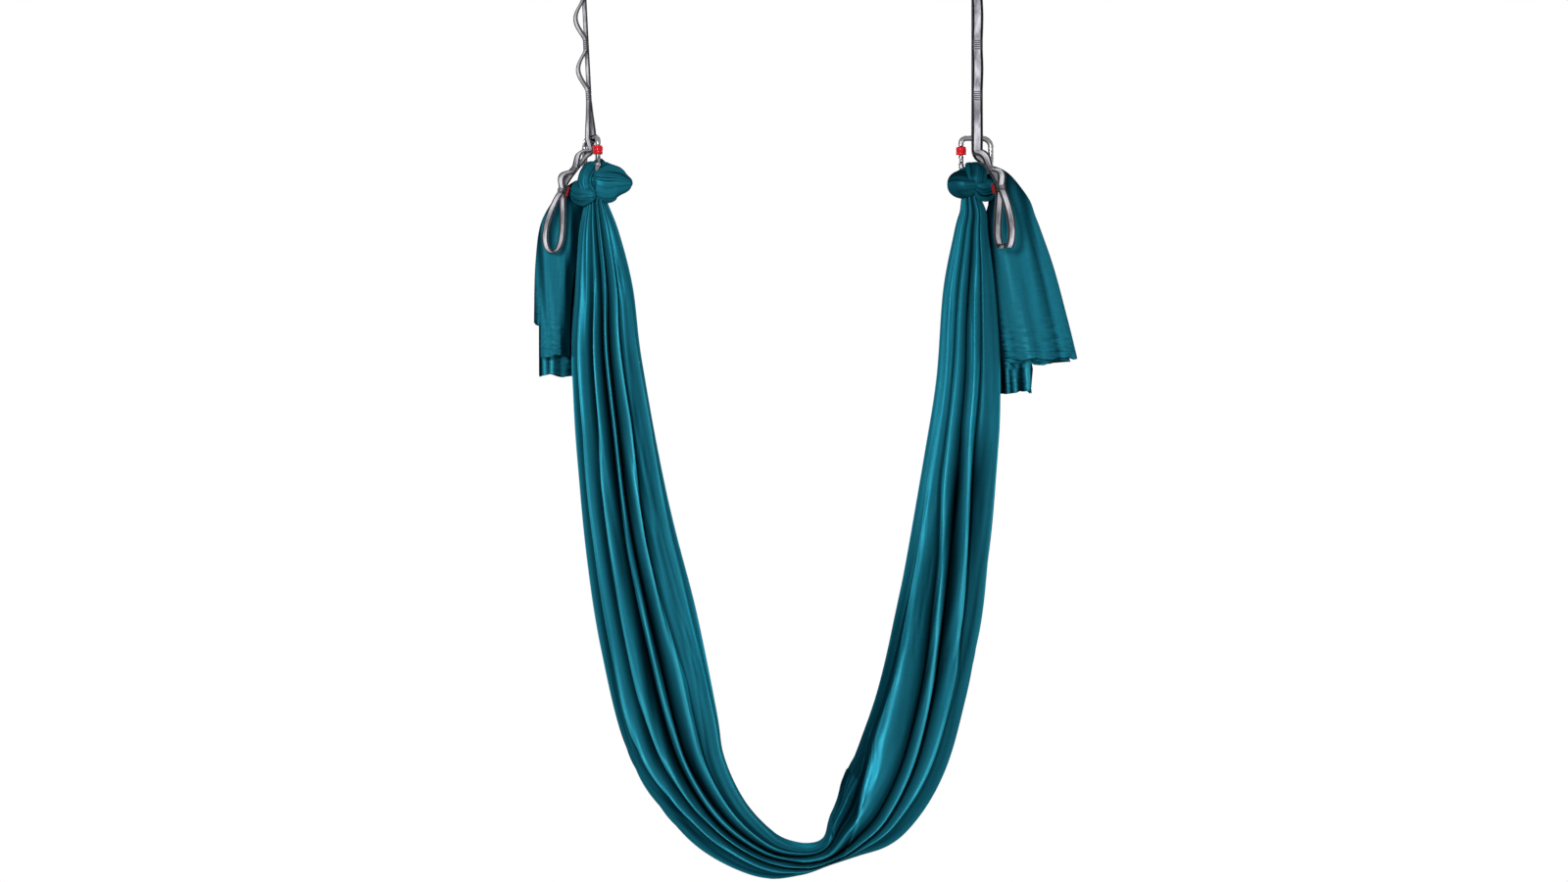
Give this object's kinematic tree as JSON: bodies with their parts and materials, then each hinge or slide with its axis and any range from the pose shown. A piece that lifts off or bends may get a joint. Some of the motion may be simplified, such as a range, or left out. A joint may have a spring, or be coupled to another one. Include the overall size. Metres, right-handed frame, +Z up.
{
  "type": "aerial yoga hammock",
  "caption": "Aerial yoga hammock: a gathered cloth sling knotted to carabiners that hang from daisy chain straps on ceiling carabiners.",
  "frame": {"origin": "midway between the two places where the upper carabiners bear on the ceiling's anchors", "axes": "+Z up, +X from the left strap to the right one, +Y away from the picture's viewer"},
  "size_m": [0.9535, 0.1776, 1.7269],
  "materials": {
    "carabiner_steel": "polished",
    "gate_steel": "polished",
    "small_steel": "satin",
    "plunger_brass": "satin",
    "red_sleeve": "glossy red anodised",
    "base_webbing": "woven, dark edges",
    "pocket_webbing": "woven, grey face",
    "tag_cloth": "woven, dark",
    "teal_tricot": "satin sheen"
  },
  "bodies": {
    "anchors": {"upper_left_carabiner_frame": "carabiner_steel", "upper_left_carabiner_hinge_pin": "small_steel", "upper_right_carabiner_frame": "carabiner_steel", "upper_right_carabiner_hinge_pin": "small_steel"},
    "hammock": {"lower_left_carabiner_frame": "carabiner_steel", "lower_left_carabiner_hinge_pin": "small_steel", "lower_right_carabiner_frame": "carabiner_steel", "lower_right_carabiner_hinge_pin": "small_steel", "left_strap_base": "base_webbing", "left_strap_pockets": "pocket_webbing", "left_strap_tag": "tag_cloth", "right_strap_base": "base_webbing", "right_strap_pockets": "pocket_webbing", "right_strap_tag": "tag_cloth", "cloth_sling": "teal_tricot", "cloth_knot_left": "teal_tricot", "cloth_knot_right": "teal_tricot", "cloth_tail_left": "teal_tricot", "cloth_tail_right": "teal_tricot"},
    "upper_left_gate": {"upper_left_carabiner_gate": "gate_steel", "upper_left_carabiner_gate_spring": "small_steel", "upper_left_carabiner_gate_plunger": "plunger_brass"},
    "upper_left_sleeve": {"upper_left_carabiner_locking_sleeve": "red_sleeve"},
    "upper_right_gate": {"upper_right_carabiner_gate": "gate_steel", "upper_right_carabiner_gate_spring": "small_steel", "upper_right_carabiner_gate_plunger": "plunger_brass"},
    "upper_right_sleeve": {"upper_right_carabiner_locking_sleeve": "red_sleeve"},
    "lower_left_gate": {"lower_left_carabiner_gate": "gate_steel", "lower_left_carabiner_gate_spring": "small_steel", "lower_left_carabiner_gate_plunger": "plunger_brass"},
    "lower_left_sleeve": {"lower_left_carabiner_locking_sleeve": "red_sleeve"},
    "lower_right_gate": {"lower_right_carabiner_gate": "gate_steel", "lower_right_carabiner_gate_spring": "small_steel", "lower_right_carabiner_gate_plunger": "plunger_brass"},
    "lower_right_sleeve": {"lower_right_carabiner_locking_sleeve": "red_sleeve"}
  },
  "joints": [
    {"name": "hammock_swing", "type": "hinge", "parent": "anchors", "child": "hammock", "pos_m": [0, 0, -0.0572], "axis": [1, 0, 0], "range_deg": [-45, 45]},
    {"name": "upper_left_gate_hinge", "type": "hinge", "parent": "anchors", "child": "upper_left_gate", "pos_m": [-0.374, 0, -0.0346], "axis": [0, 1, 0], "range_deg": [0, 22], "stiffness_Nm_per_rad": 0.08, "springref_deg": -11.46},
    {"name": "upper_left_sleeve_slide", "type": "slide", "parent": "upper_left_gate", "child": "upper_left_sleeve", "axis": [0, 0, -1], "range_m": [-0.0065, 0]},
    {"name": "upper_right_gate_hinge", "type": "hinge", "parent": "anchors", "child": "upper_right_gate", "pos_m": [0.374, 0, -0.0346], "axis": [0, -1, 0], "range_deg": [0, 22], "stiffness_Nm_per_rad": 0.08, "springref_deg": -11.46},
    {"name": "upper_right_sleeve_slide", "type": "slide", "parent": "upper_right_gate", "child": "upper_right_sleeve", "axis": [0, 0, -1], "range_m": [-0.0065, 0]},
    {"name": "lower_left_gate_hinge", "type": "hinge", "parent": "hammock", "child": "lower_left_gate", "pos_m": [-0.316, -0.02425, -0.4641], "axis": [-0.866, -0.5, 0], "range_deg": [0, 22], "stiffness_Nm_per_rad": 0.08, "springref_deg": -11.46},
    {"name": "lower_left_sleeve_slide", "type": "slide", "parent": "lower_left_gate", "child": "lower_left_sleeve", "axis": [0, 0, -1], "range_m": [-0.0065, 0]},
    {"name": "lower_right_gate_hinge", "type": "hinge", "parent": "hammock", "child": "lower_right_gate", "pos_m": [0.32, 0, -0.4641], "axis": [0, 1, 0], "range_deg": [0, 22], "stiffness_Nm_per_rad": 0.08, "springref_deg": -11.46},
    {"name": "lower_right_sleeve_slide", "type": "slide", "parent": "lower_right_gate", "child": "lower_right_sleeve", "axis": [0, 0, -1], "range_m": [-0.0065, 0]}
  ]
}
